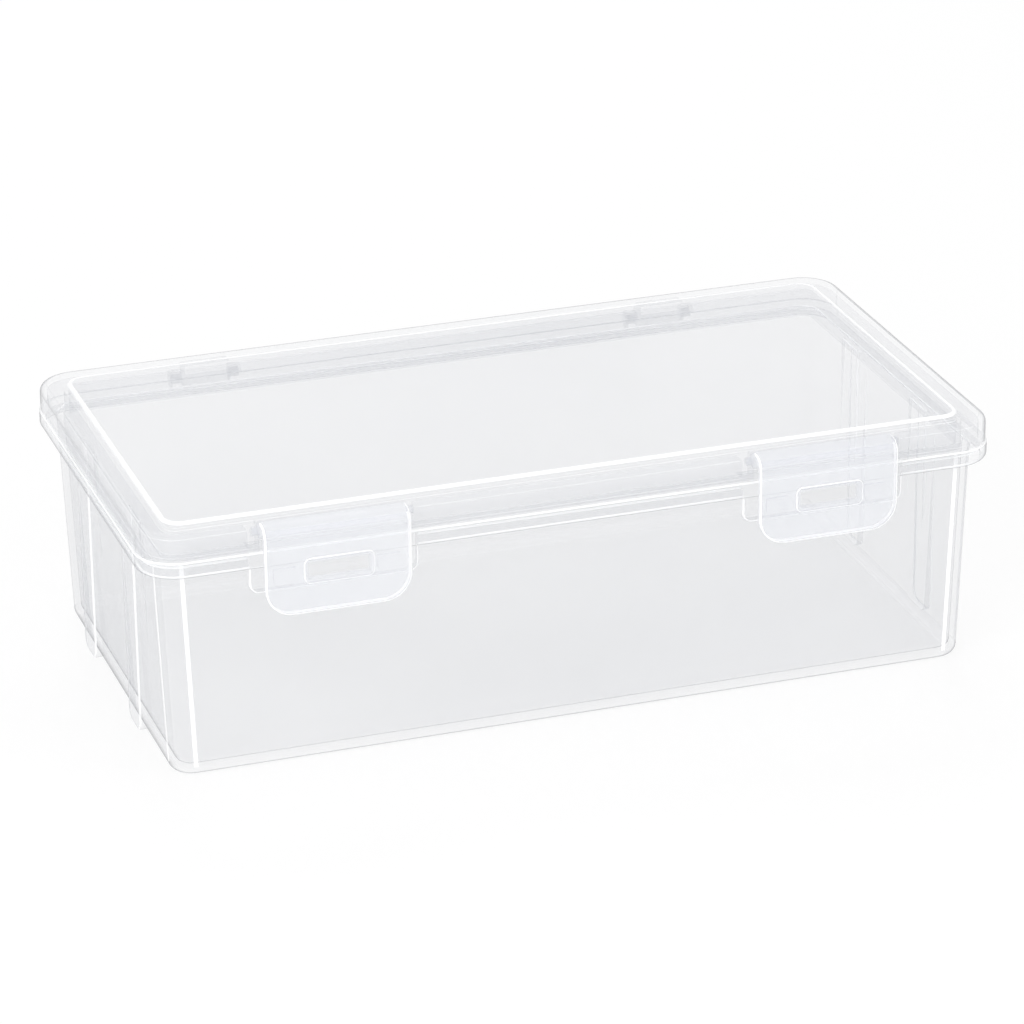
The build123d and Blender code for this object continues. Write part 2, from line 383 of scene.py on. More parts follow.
class Rod(Modelling):
    """A round bar along X."""

    def __init__(self, name: str, radius: float, span: Span, axis: Span) -> None:
        """Add the bar.

        Args:
            name: The object's name.
            radius: The bar's radius.
            span: Its ends along X.
            axis: The Y and Z of its middle line.
        """
        deselect_all()
        low, high = span
        bpy.ops.mesh.primitive_cylinder_add(vertices=BAR_SIDES, radius=radius, depth=high - low,
                                            location=((low + high) / 2, *axis),
                                            rotation=(0, math.pi / 2, 0))
        self.adopt(bpy.context.object, name)


def rounded_plate(name: str, x: Span, y: Span, z: Span, radius: float, at_top: bool = False,
                  segments: int = CORNER_STEPS) -> Modelling:
    """A block whose corners, seen from the front, are rounded.

    Args:
        name: The object's name.
        x: Its limits along X.
        y: Its limits along Y.
        z: Its limits along Z.
        radius: The corners' radius.
        at_top: Whether the upper corners are rounded as well as the lower ones.
        segments: The steps of each corner.

    Returns:
        The block.
    """
    block = Modelling(name, (x[0], y[0], z[0]), (x[1], y[1], z[1]))

    def corner(edge: bmesh.types.BMEdge) -> bool:
        """Tell whether an edge along Y is a corner that is rounded."""
        a, b = (v.co for v in edge.verts)
        if abs(a.y - b.y) < NEAR:
            return False
        return at_top or a.z < sum(z) / 2

    block.pick_edges(corner)
    block.round_edges(radius, segments)
    return block


def rounded_end_plate(name: str, x: Span, y: Span, z: Span, radius: float) -> Modelling:
    """A block whose lower corners, seen from the end, are rounded.

    Args:
        name: The object's name.
        x: Its limits along X.
        y: Its limits along Y.
        z: Its limits along Z.
        radius: The corners' radius.

    Returns:
        The block.
    """
    block = Modelling(name, (x[0], y[0], z[0]), (x[1], y[1], z[1]))
    middle = sum(z) / 2
    block.pick_edges(lambda e: abs(e.verts[0].co.x - e.verts[1].co.x) > NEAR and e.verts[0].co.z < middle)
    block.round_edges(radius, CORNER_STEPS)
    return block


def slab(name: str, length: float, width: float, corner: float, z: Span) -> Modelling:
    """A flat block round the origin with rounded corners in plan.

    Args:
        name: The object's name.
        length: Its size along X.
        width: Its size along Y.
        corner: Its corners' radius.
        z: Its limits along Z.

    Returns:
        The block.
    """
    block = Modelling(name, (-length / 2, -width / 2, z[0]), (length / 2, width / 2, z[1]))
    block.pick_edges(lambda e: abs(e.verts[0].co.z - e.verts[1].co.z) > NEAR)
    # The plan corners get the rounding skin: painted highlight and shade.
    block.round_edges(corner, PLAN_STEPS, Skin.ROUND)
    return block


def level_edge(edge: bmesh.types.BMEdge, z: float) -> bool:
    """Tell whether an edge lies level at a height."""
    return all(abs(v.co.z - z) < NEAR for v in edge.verts)


@dataclass(frozen=True)
class Finish:
    """A moulded plastic, clear or frosted, or the painted highlight and shade laid on its edges and
    roundings.

    Attributes:
        name: The material's name.
        colour: Its base colour.
        roughness: Its mean roughness.
        spread: How far the roughness varies.
        film: Its opacity where it is seen square on.
        rim: Its opacity where it is seen at a grazing angle.
        ripple: The strength of its moulding ripple.
        shade: Its painted shade, the colour where it is seen at a grazing angle.
        grazing: How far a face has turned away when its shade begins.
        tint_depth: How far its colour varies.
        ior: Its index of refraction, for reflections.
        ripple_height: The height of the moulding ripple.
    """

    name: str
    colour: Triple
    roughness: float
    spread: float
    film: float
    rim: float
    ripple: float
    shade: Triple
    grazing: float = 0.72
    tint_depth: float = 0.03
    ior: float = 1.49
    ripple_height: float = 0.05 * MM

    def make(self, wear: bpy.types.NodeTree) -> bpy.types.Material:
        """Build the material.

        Args:
            wear: The shared node group of handling marks.

        Returns:
            The material.
        """
        material = bpy.data.materials.new(self.name)
        material.use_nodes = True
        nodes, links = material.node_tree.nodes, material.node_tree.links
        nodes.clear()
        output = nodes.new("ShaderNodeOutputMaterial")
        shader = nodes.new("ShaderNodeBsdfPrincipled")
        shader.inputs["IOR"].default_value = self.ior
        coords = nodes.new("ShaderNodeTexCoord")
        marks = nodes.new("ShaderNodeGroup")
        marks.node_tree = wear
        marks.inputs["Colour"].default_value = (*self.colour, 1)
        marks.inputs["Tint Depth"].default_value = self.tint_depth
        marks.inputs["Roughness"].default_value = self.roughness
        marks.inputs["Spread"].default_value = self.spread
        bump = nodes.new("ShaderNodeBump")
        bump.inputs["Strength"].default_value = self.ripple
        bump.inputs["Distance"].default_value = self.ripple_height
        facing = nodes.new("ShaderNodeLayerWeight")
        edge_on_share = nodes.new("ShaderNodeMapRange")
        edge_on_share.interpolation_type = "SMOOTHSTEP"
        edge_on_share.inputs["From Min"].default_value = self.grazing
        opacity = nodes.new("ShaderNodeMapRange")
        opacity.inputs["To Min"].default_value = self.film
        opacity.inputs["To Max"].default_value = self.rim
        # The shade colour mixed in where a face is seen at a grazing angle is painted shade; the opacity
        # rises there too.
        shading = nodes.new("ShaderNodeMix")
        shading.data_type = "RGBA"
        shading.inputs["B"].default_value = (*self.shade, 1)
        haze = nodes.new("ShaderNodeMath")
        haze.operation = "MULTIPLY"
        haze.use_clamp = True
        links.new(facing.outputs["Facing"], edge_on_share.inputs["Value"])
        links.new(edge_on_share.outputs["Result"], opacity.inputs["Value"])
        links.new(edge_on_share.outputs["Result"], shading.inputs["Factor"])
        links.new(marks.outputs["Colour"], shading.inputs["A"])
        links.new(shading.outputs["Result"], shader.inputs["Base Color"])
        links.new(opacity.outputs["Result"], haze.inputs[0])
        links.new(marks.outputs["Haze"], haze.inputs[1])
        links.new(haze.outputs[0], shader.inputs["Alpha"])
        links.new(coords.outputs["Object"], marks.inputs["Vector"])
        links.new(marks.outputs["Roughness"], shader.inputs["Roughness"])
        links.new(marks.outputs["Height"], bump.inputs["Height"])
        links.new(bump.outputs["Normal"], shader.inputs["Normal"])
        links.new(shader.outputs["BSDF"], output.inputs["Surface"])
        return material


@dataclass(frozen=True)
class HandlingMarks:
    """The faint smudges, haze and moulding ripple that every plastic shares.

    Attributes:
        smudges: The scale and detail of the smudges, which change colour and roughness.
        ripple: The scale and detail of the moulding ripple.
        clouds: The scale and detail of the haze, which changes the opacity.
        noise_middle: The mean of a noise texture.
        cloud_range: The noise values between which the haze runs.
        haze_range: The factors on the opacity at those values.
    """

    smudges: Span = (28.0, 4.0)
    ripple: Span = (90.0, 2.0)
    clouds: Span = (11.0, 5.0)
    noise_middle: float = 0.5
    cloud_range: Span = (0.3, 0.7)
    haze_range: Span = (0.82, 1.18)

    def make(self) -> bpy.types.NodeTree:
        """Build the node group.

        Returns:
            The node group.
        """
        tree = bpy.data.node_groups.new("handling_marks", "ShaderNodeTree")
        face = tree.interface
        face.new_socket("Vector", in_out="INPUT", socket_type="NodeSocketVector")
        face.new_socket("Colour", in_out="INPUT", socket_type="NodeSocketColor")
        face.new_socket("Tint Depth", in_out="INPUT", socket_type="NodeSocketFloat")
        face.new_socket("Roughness", in_out="INPUT", socket_type="NodeSocketFloat")
        face.new_socket("Spread", in_out="INPUT", socket_type="NodeSocketFloat")
        face.new_socket("Colour", in_out="OUTPUT", socket_type="NodeSocketColor")
        face.new_socket("Roughness", in_out="OUTPUT", socket_type="NodeSocketFloat")
        face.new_socket("Height", in_out="OUTPUT", socket_type="NodeSocketFloat")
        face.new_socket("Haze", in_out="OUTPUT", socket_type="NodeSocketFloat")
        nodes, links = tree.nodes, tree.links
        source = nodes.new("NodeGroupInput")
        result = nodes.new("NodeGroupOutput")

        def noise(scale: float, detail: float) -> bpy.types.Node:
            """Add a noise texture on the group's vector."""
            node = nodes.new("ShaderNodeTexNoise")
            node.inputs["Scale"].default_value = scale
            node.inputs["Detail"].default_value = detail
            links.new(source.outputs["Vector"], node.inputs["Vector"])
            return node

        smudges = noise(*self.smudges)
        ripple = noise(*self.ripple)
        centred = nodes.new("ShaderNodeMath")
        centred.operation = "SUBTRACT"
        centred.inputs[1].default_value = self.noise_middle
        links.new(smudges.outputs["Fac"], centred.inputs[0])
        rough = nodes.new("ShaderNodeMath")
        rough.operation = "MULTIPLY_ADD"
        links.new(centred.outputs[0], rough.inputs[0])
        links.new(source.outputs["Spread"], rough.inputs[1])
        links.new(source.outputs["Roughness"], rough.inputs[2])
        links.new(rough.outputs[0], result.inputs["Roughness"])
        darker = nodes.new("ShaderNodeMath")
        darker.operation = "MULTIPLY_ADD"
        darker.inputs[2].default_value = 1.0
        links.new(centred.outputs[0], darker.inputs[0])
        links.new(source.outputs["Tint Depth"], darker.inputs[1])
        tint = nodes.new("ShaderNodeVectorMath")
        tint.operation = "SCALE"
        links.new(source.outputs["Colour"], tint.inputs[0])
        links.new(darker.outputs[0], tint.inputs["Scale"])
        links.new(tint.outputs[0], result.inputs["Colour"])
        links.new(ripple.outputs["Fac"], result.inputs["Height"])
        clouds = noise(*self.clouds)
        haze = nodes.new("ShaderNodeMapRange")
        haze.inputs["From Min"].default_value = self.cloud_range[0]
        haze.inputs["From Max"].default_value = self.cloud_range[1]
        haze.inputs["To Min"].default_value = self.haze_range[0]
        haze.inputs["To Max"].default_value = self.haze_range[1]
        links.new(clouds.outputs["Fac"], haze.inputs["Value"])
        links.new(haze.outputs["Result"], result.inputs["Haze"])
        return tree


@dataclass
class BoxBody:
    """The body: drafted shell, turned-down rim, end strips, catch brackets and hinge ears."""

    sizes: BoxSizes = field(default_factory=lambda: SIZES)
    base_fillet: float = 2.5 * MM
    floor_fillet: float = 1.5 * MM
    strip_width: float = 11.0 * MM
    strip_spread: float = 45.0 * MM
    strip_foot: float = 1.2 * MM
    strip_rounding: float = 3.0 * MM
    bracket_margin: float = 2.9 * MM
    bracket_drop: float = 6.9 * MM
    bracket_setback: float = 1.4 * MM
    bracket_rounding: float = 2.5 * MM
    rim_foot_rounding: float = 1.2 * MM
    lug_width: float = 3.0 * MM
    softness: float = 0.45 * MM
    fillet_steps: int = 4
    base_steps: int = 6
    glint_turn: float = 4.5
    glint_reach: float = 1.5

    def build(self) -> bpy.types.Object:
        """Model the body.

        Returns:
            The finished object.
        """
        s = self.sizes
        shell = slab("box_body", s.length, s.width, s.rim_corner, (s.rim_bottom, s.rim_top))
        # The rim's foot rounding gets the rounding skin: painted highlight and shade.
        shell.pick_edges(lambda e: level_edge(e, s.rim_bottom))
        shell.round_edges(self.rim_foot_rounding, self.fillet_steps, Skin.ROUND)
        self._hollow(shell)
        self._wall(shell)
        shell.soften(self.softness)
        for side in Side:
            for row in (-1, 1):
                shell.combine(self._strip(side.value, row), Boolean.ADD)
            shell.combine(self._bracket(side.value), Boolean.ADD)
            for ear in (-1, 1):
                shell.combine(self._ear(side.value, ear), Boolean.ADD)
        shell.smooth()
        return shell.obj

    def dress(self, piece: bpy.types.Object, skins: Sequence[bpy.types.Material]) -> None:
        """Give the body its clear plastic and the painted highlight and shade of its edges and roundings,
        and say what it stands for.
        """
        declare(piece, skins, "body", "box")

    def _hollow(self, shell: Modelling) -> None:
        """Sink the storage space into the slab's top."""
        s = self.sizes
        depth = s.rim_top - s.floor
        share = depth / s.rim_top
        mouth = (s.length / 2 - s.overhang - s.wall, s.width / 2 - s.overhang - s.wall)
        shell.pick_cap(s.rim_top, True)
        shell.inset(s.overhang + s.wall)
        shell.extrude((0, 0, -depth))
        shell.resize((1 - s.end_draft * share / mouth[0], 1 - s.side_draft * share / mouth[1], 1))
        shell.done()
        # The floor fillet gets the rounding skin: painted highlight and shade.
        shell.pick_edges(lambda e: level_edge(e, s.floor))
        shell.round_edges(self.floor_fillet, self.fillet_steps, Skin.ROUND)

    def _wall(self, shell: Modelling) -> None:
        """Carry the outside of the wall down from the rim's channel to the base."""
        s = self.sizes
        channel_top = s.rim_top - s.rim_skin
        wall_foot = s.end_draft / (s.length / 2 - s.overhang), s.side_draft / (s.width / 2 - s.overhang)
        shell.pick_cap(s.rim_bottom, False)
        shell.inset(s.rim_skin - self.rim_foot_rounding)
        shell.extrude((0, 0, s.rim_depth - s.rim_skin))
        shell.inset(s.overhang - s.rim_skin)
        shell.extrude((0, 0, -channel_top))
        shell.resize((1 - wall_foot[0], 1 - wall_foot[1], 1))
        shell.done()
        # The base fillet gets the rounding skin, painted highlight and shade; the narrow strips where the
        # front wall turns into its corners get the edge skin, a painted highlight.
        shell.pick_edges(lambda e: level_edge(e, 0))
        shell.round_edges(self.base_fillet, self.base_steps, Skin.ROUND)
        shell.pick_faces(self._catches_light)
        shell.paint(Skin.EDGE)
        shell.done()

    def _catches_light(self, face: bmesh.types.BMFace) -> bool:
        """Tell whether a face is the narrow strip where a front wall turns into its corner, which gets a
        painted highlight.

        Args:
            face: The face.

        Returns:
            Whether it is such a strip.
        """
        middle, normal = face.calc_center_median(), face.normal
        outward = normal.x * middle.x > 0 > normal.y and middle.y < 0
        upright = abs(normal.z) < UPRIGHT and middle.z < self.sizes.rim_bottom
        turn = math.degrees(math.atan2(abs(normal.x), abs(normal.y)))
        off_front, off_end = abs(turn - self.glint_turn), abs(90 - self.glint_turn - turn)
        return outward and upright and min(off_front, off_end) < self.glint_reach

    def _strip(self, side: int, row: int) -> Modelling:
        """A raised upright strip on an end wall."""
        s = self.sizes
        outer = s.length / 2 - s.overhang
        x = sorted((side * outer, side * (outer - s.end_draft - s.wall / 2)))
        y = row * self.strip_spread / 2
        strip = rounded_end_plate("strip", tuple(x), (y - self.strip_width / 2, y + self.strip_width / 2),
                                  (self.strip_foot, s.rim_top - s.rim_skin / 2), self.strip_rounding)
        strip.soften(self.softness)
        return strip

    def _bracket(self, side: int) -> Modelling:
        """The thick pad under the rim behind a latch."""
        s = self.sizes
        half = s.latch_width / 2 + self.bracket_margin
        x = side * s.latch_middle
        front = -(s.rim_face - self.bracket_setback)
        back = -(s.width / 2 - s.overhang - s.side_draft - s.wall / 2)
        pad = rounded_plate("bracket", (x - half, x + half), (front, back),
                            (s.rim_bottom - self.bracket_drop, s.rim_top - s.rim_skin / 2),
                            self.bracket_rounding)
        pad.soften(self.softness)
        return pad

    def _ear(self, side: int, ear: int) -> Modelling:
        """One bored ear behind the back rim."""
        s = self.sizes
        y, z = s.hinge_axis
        x = side * s.latch_middle
        inner = s.knuckle_width / 2 + s.knuckle_gap
        span = tuple(sorted((x + ear * inner, x + ear * (inner + self.lug_width))))
        lug = Rod("ear", s.knuckle_radius, span, (y, z))
        web = Modelling("web", (span[0], s.rim_face - s.rim_skin / 2, z - s.knuckle_radius),
                        (span[1], y, s.rim_top - self.softness))
        lug.combine(web, Boolean.ADD)
        bore = Rod("bore", s.hinge_pin_radius + PIN_PLAY,
                   (span[0] - CUT_PAST, span[1] + CUT_PAST), (y, z))
        lug.combine(bore, Boolean.CUT)
        return lug


@dataclass
class BoxLid:
    """The lid: raised panel, skirt, locating lip, latch notches and rear knuckles."""

    sizes: BoxSizes = field(default_factory=lambda: SIZES)
    skin: float = 1.6 * MM
    edge_rounding: float = 2.0 * MM
    panel_inset: float = 7.4 * MM
    panel_corner: float = 5.0 * MM
    bead_width: float = 0.3 * MM
    bead_drop: float = 0.15 * MM
    lip_skin: float = 1.2 * MM
    lip_depth: float = 2.6 * MM
    lip_clearance: float = 0.4 * MM
    notch_wall: float = 1.6 * MM
    cheek: float = 2.4 * MM
    pin_radius: float = 1.0 * MM
    pin_length: float = 1.6 * MM
    pin_end_gap: float = 0.3 * MM
    arm_depth: float = 2.6 * MM
    hinge_pin_length: float = 2.6 * MM
    softness: float = 0.45 * MM
    edge_steps: int = 6
    panel_steps: int = 3

    def build(self) -> bpy.types.Object:
        """Model the lid.

        Returns:
            The finished object.
        """
        s = self.sizes
        top = slab("box_lid", s.length - 2 * s.lid_inset, s.lid_width, s.rim_corner - s.lid_inset,
                   (s.lid_bottom, s.lid_edge))
        # The lid's edge rounding gets the rounding skin: painted highlight and shade.
        top.pick_edges(lambda e: level_edge(e, s.lid_edge))
        top.round_edges(self.edge_rounding, self.edge_steps, Skin.ROUND)
        self._panel(top)
        self._underside(top)
        top.soften(self.softness)
        for side in Side:
            x = side.value * s.latch_middle
            top.combine(self._housing(x), Boolean.ADD)
            top.combine(self._notch(x), Boolean.CUT)
            top.combine(self._pin_holes(x), Boolean.CUT)
            top.combine(self._knuckle(x), Boolean.ADD)
        top.smooth()
        return top.obj

    def dress(self, piece: bpy.types.Object, skins: Sequence[bpy.types.Material]) -> None:
        """Give the lid its clear plastic and the painted highlight and shade of its edges and roundings,
        and say what it stands for.
        """
        declare(piece, skins, "lid", "lid")

    def _panel(self, top: Modelling) -> None:
        """Raise the flat panel, with a fine bead along its edge, inside the lid's margin; its rounded edge
        and the bead's top get a painted highlight.
        """
        s = self.sizes
        margin = self.panel_inset - s.panel_rise
        panel = slab("panel", s.length - 2 * (s.lid_inset + margin), s.lid_width - 2 * margin,
                     self.panel_corner, (s.lid_edge - self.skin / 2, s.height))
        # The panel's rounded edge gets the edge skin: a painted highlight.
        panel.pick_edges(lambda e: level_edge(e, s.height))
        panel.round_edges(s.panel_rise, self.panel_steps, Skin.EDGE)
        panel.pick_cap(s.height, True)
        panel.inset(self.bead_width)
        panel.inset(self.bead_drop, -self.bead_drop)
        panel.done()
        bead_low = s.height - self.bead_drop - NEAR

        def on_bead(face: bmesh.types.BMFace) -> bool:
            """Tell whether a face is on the bead, and so away from the panel's middle."""
            middle = face.calc_center_median()
            return face.normal.z > LOOKS_UP and middle.xy.length > self.panel_corner and middle.z > bead_low

        # The bead's top faces get the edge skin: a painted highlight.
        panel.pick_faces(on_bead)
        panel.paint(Skin.EDGE)
        panel.done()
        top.combine(panel, Boolean.ADD)

    def _underside(self, top: Modelling) -> None:
        """Hollow the lid and hang its locating lip."""
        s = self.sizes
        ceiling = s.lid_edge - self.skin
        lip_inset = s.overhang + s.wall + self.lip_clearance - s.lid_inset
        lip_bottom = s.lid_bottom - self.lip_depth
        top.pick_cap(s.lid_bottom, False)
        top.inset(s.wall)
        top.extrude((0, 0, ceiling - s.lid_bottom))
        top.inset(lip_inset - s.wall)
        top.extrude((0, 0, lip_bottom - ceiling))
        top.inset(self.lip_skin)
        top.extrude((0, 0, ceiling - lip_bottom))
        top.inset(self.panel_inset - lip_inset - self.lip_skin)
        top.extrude((0, 0, s.panel_rise))
        top.done()

    def _housing(self, x: float) -> Modelling:
        """The thick block whose cheeks hold a latch's pins."""
        s = self.sizes
        half = s.latch_width / 2 + s.notch_clearance + self.cheek
        back = -s.latch_axis[0] - s.barrel_radius - s.notch_clearance - self.notch_wall
        return Modelling("housing", (x - half, -(s.lid_width / 2 - INSIDE), s.lid_bottom + INSIDE),
                         (x + half, -back, s.lid_edge - self.skin / 2))

    def _notch(self, x: float) -> Modelling:
        """What is cut from the lid for a latch's barrel."""
        s = self.sizes
        half = s.latch_width / 2 + s.notch_clearance
        back = -s.latch_axis[0] - s.barrel_radius - s.notch_clearance
        low = s.lid_bottom - self.lip_depth - CUT_PAST
        return Modelling("notch", (x - half, -(s.lid_width / 2 + CUT_PAST), low),
                         (x + half, -back, s.height + CUT_PAST))

    def _pin_holes(self, x: float) -> Modelling:
        """The two pin holes in a notch's cheeks, as one bar."""
        s = self.sizes
        reach = s.latch_width / 2 + self.pin_length + self.pin_end_gap
        return Rod("pin_holes", self.pin_radius + PIN_PLAY, (x - reach, x + reach), s.latch_axis)

    def _knuckle(self, x: float) -> Modelling:
        """The arm at the back with its barrel and pivot pins."""
        s = self.sizes
        y, z = s.hinge_axis
        near, far = x - s.knuckle_width / 2, x + s.knuckle_width / 2
        arm_low = s.lid_bottom + s.knuckle_gap
        arm_top = arm_low + self.arm_depth
        knuckle = Rod("knuckle", s.knuckle_radius, (near, far), (y, z))
        strap = Modelling("strap", (near, y - s.knuckle_radius, z), (far, y + s.knuckle_radius, arm_top))
        strap.pick_edges(lambda e: all(v.co.z > z and v.co.y > y for v in e.verts))
        strap.round_edges(s.knuckle_radius, CORNER_STEPS)
        knuckle.combine(strap, Boolean.ADD)
        arm = Modelling("arm", (near, s.lid_width / 2 - s.wall / 2, arm_low), (far, y, arm_top))
        knuckle.combine(arm, Boolean.ADD)
        reach = s.knuckle_gap + self.hinge_pin_length
        pins = Rod("pins", s.hinge_pin_radius, (near - reach, far + reach), (y, z))
        knuckle.combine(pins, Boolean.ADD)
        return knuckle


@dataclass
class SnapLatch:
    """A frosted latch: barrel and pins, bent plate, framed window and two hooks."""

    side: Side
    sizes: BoxSizes = field(default_factory=lambda: SIZES)
    reach: float = 12.0 * MM
    corner: float = 7.0 * MM
    shoulder: float = 3.2 * MM
    pin_radius: float = 1.0 * MM
    pin_length: float = 1.6 * MM
    window_width: float = 15.7 * MM
    window_height: float = 4.7 * MM
    window_drop: float = 3.2 * MM
    window_corner: float = 0.7 * MM
    frame_width: float = 1.0 * MM
    frame_rise: float = 0.5 * MM
    hook_width: float = 5.6 * MM
    hook_spread: float = 26.0 * MM
    hook_height: float = 5.3 * MM
    hook_passing_gap: float = 0.25 * MM
    hook_play: float = 0.3 * MM
    softness: float = 0.45 * MM
    corner_steps: int = 12
    bend_steps: int = 10
    window_steps: int = 6
    softening_steps: int = 3

    @property
    def x(self) -> float:
        """The latch's middle along the box."""
        return self.side.value * self.sizes.latch_middle

    @property
    def back(self) -> float:
        """The plate's back face."""
        return -(self.sizes.rim_face + self.sizes.latch_rim_gap)

    @property
    def front(self) -> float:
        """The plate's front face."""
        return self.back - self.sizes.latch_skin

    def build(self) -> bpy.types.Object:
        """Model the latch.

        Returns:
            The finished object.
        """
        s = self.sizes
        latch = self._plate()
        half = s.latch_width / 2
        barrel = Rod("barrel", s.barrel_radius, (self.x - half, self.x + half), s.latch_axis)
        latch.combine(barrel, Boolean.ADD)
        pin = half + self.pin_length
        latch.combine(Rod("pins", self.pin_radius, (self.x - pin, self.x + pin), s.latch_axis), Boolean.ADD)
        latch.combine(self._window(self.frame_width, self.front - self.frame_rise,
                                   self.front + s.latch_skin / 2), Boolean.ADD)
        latch.combine(self._window(0, self.front - CUT_PAST, self.back + CUT_PAST), Boolean.CUT)
        for way in (-1, 1):
            latch.combine(self._hook(way), Boolean.ADD)
        latch.smooth()
        return latch.obj

    def dress(self, piece: bpy.types.Object, skins: Sequence[bpy.types.Material]) -> None:
        """Give the latch its frosted plastic and the painted highlight and shade of its edges and
        roundings, and say what it stands for.
        """
        name = self.side.name.lower()
        declare(piece, skins, "latch_" + name, name + "_latch")

    def _plate(self) -> Modelling:
        """The plate with its large lower corners, bent over to the barrel."""
        s = self.sizes
        axis_y, axis_z = s.latch_axis
        top = axis_z + s.barrel_radius
        bend_y, bend_z = self.front + self.shoulder, top - self.shoulder
        half = s.latch_width / 2
        name = "latch_" + self.side.name.lower() + "_frosted"
        plate = rounded_plate(name, (self.x - half, self.x + half), (self.front, self.back),
                              (s.rim_bottom - self.reach, bend_z), self.corner, segments=self.corner_steps)
        plate.pick_faces(lambda f: f.normal.z > LEVEL and f.calc_center_median().z > bend_z - NEAR)
        bpy.ops.mesh.spin(steps=self.bend_steps, angle=math.pi / 2, center=(self.x, bend_y, bend_z),
                          axis=(1, 0, 0))
        plate.extrude((0, axis_y - bend_y, 0))
        plate.close()
        plate.soften(self.softness, self.softening_steps)
        return plate

    def _window(self, margin: float, y_low: float, y_high: float) -> Modelling:
        """A block of the window's outline, grown by a margin."""
        s = self.sizes
        low = s.rim_bottom - self.window_drop
        half = self.window_width / 2 + margin
        block = rounded_plate("window", (self.x - half, self.x + half), (y_low, y_high),
                              (low - margin, low + self.window_height + margin),
                              self.window_corner + margin, at_top=True, segments=self.window_steps)
        if margin:
            block.soften(self.softness / 2)
        return block

    def _hook(self, way: int) -> Modelling:
        """A hook on the plate's back, round at its lower end."""
        s = self.sizes
        x = self.x + way * self.hook_spread / 2
        top = s.rim_bottom - self.hook_play
        return rounded_plate("hook", (x - self.hook_width / 2, x + self.hook_width / 2),
                             (self.back - s.latch_skin / 2, -(s.rim_face + self.hook_passing_gap)),
                             (top - self.hook_height, top), self.hook_width / 2 - INSIDE * 2)


def outward(azimuth: float, elevation: float) -> Vector:
    """The way from the box towards a place round it.

    Args:
        azimuth: The turn from straight in front, in degrees, to the right.
        elevation: The height above the level, in degrees.

    Returns:
        A vector of length one.
    """
    a, e = math.radians(azimuth), math.radians(elevation)
    return Vector((math.sin(a) * math.cos(e), -math.cos(a) * math.cos(e), math.sin(e)))


@dataclass(frozen=True)
class Lamp:
    """A soft square lamp that looks at the box."""

    name: str
    azimuth: float
    elevation: float
    size: float
    watts: float
    distance: float = 1.2

    def hang(self) -> None:
        """Add the lamp."""
        way = outward(self.azimuth, self.elevation)
        deselect_all()
        bpy.ops.object.light_add(type="AREA", location=way * self.distance)
        lamp = bpy.context.object
        lamp.name = self.name
        lamp.data.size = self.size
        lamp.data.energy = self.watts
        lamp.rotation_mode = "QUATERNION"
        lamp.rotation_quaternion = way.to_track_quat("Z", "Y")


